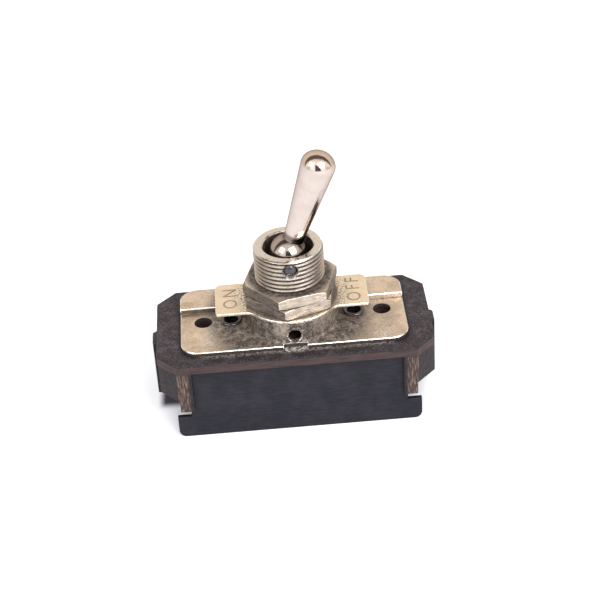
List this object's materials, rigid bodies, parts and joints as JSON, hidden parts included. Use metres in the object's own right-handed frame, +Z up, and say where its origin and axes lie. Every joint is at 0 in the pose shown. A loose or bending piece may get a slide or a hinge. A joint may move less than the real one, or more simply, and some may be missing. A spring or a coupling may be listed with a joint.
{
  "type": "selector switch",
  "caption": "Panel selector switch with a bat lever in a threaded bushing, thin hex nuts, an ON/OFF legend plate, a stepped steel cover and a moulded base with insulating barriers.",
  "frame": {"origin": "centre of the part's footprint, on the plane the barriers stand on", "axes": "+X along the base towards the OFF tab, +Y towards the stepped rear of the cover, +Z up the bushing"},
  "size_m": [0.049, 0.0226, 0.0479],
  "materials": {
    "phenolic": "moulded black phenolic, filed brown along the flange edge",
    "fibre_dark": "calendered blue-black fibre sheet",
    "fibre_brown": "vulcanised fibre",
    "nickel_sheet": "worn nickel plate",
    "nickel_brass": "nickel-plated brass, dirty in the thread",
    "steel": "plain steel",
    "chrome_lever": "polished plating",
    "plunger_plastic": "moulded insulating tip",
    "contact_brass": "stamped brass",
    "silver": "silver contact"
  },
  "bodies": {
    "body": {"base": "phenolic", "barrier_front": "fibre_dark", "barrier_rear": "fibre_dark", "insulator": "fibre_brown", "cover": "nickel_sheet", "eyelet_left": "nickel_brass", "eyelet_right": "nickel_brass", "bushing": "nickel_brass", "legend_plate": "nickel_sheet", "nut_lower": "nickel_brass", "nut_upper": "nickel_brass", "pivot_pin": "steel", "terminal_common": "contact_brass", "terminal_on": "contact_brass", "fixed_contact": "silver"},
    "lever": {"lever": "chrome_lever", "plunger_spring": "steel"},
    "plunger": {"plunger": "plunger_plastic"},
    "rocker": {"rocker": "contact_brass", "moving_contact": "silver"}
  },
  "joints": [
    {"name": "lever_tilt", "type": "hinge", "parent": "body", "child": "lever", "pos_m": [0, 0, 0.0289], "axis": [0, 1, 0], "range_deg": [-38.6, 0]},
    {"name": "rocker_tip", "type": "hinge", "parent": "body", "child": "rocker", "pos_m": [0, 0, 0.01], "axis": [0, 1, 0], "range_deg": [0, 23.16]},
    {"name": "plunger_slide", "type": "slide", "parent": "lever", "child": "plunger", "axis": [0.3305, 0, 0.9438], "range_m": [0, 0.0007], "stiffness_N_per_m": 100, "deforming": ["plunger_spring"]}
  ],
  "couplings": [
    {"joint": "rocker_tip", "follows": "lever_tilt", "ratio": -0.6}
  ]
}
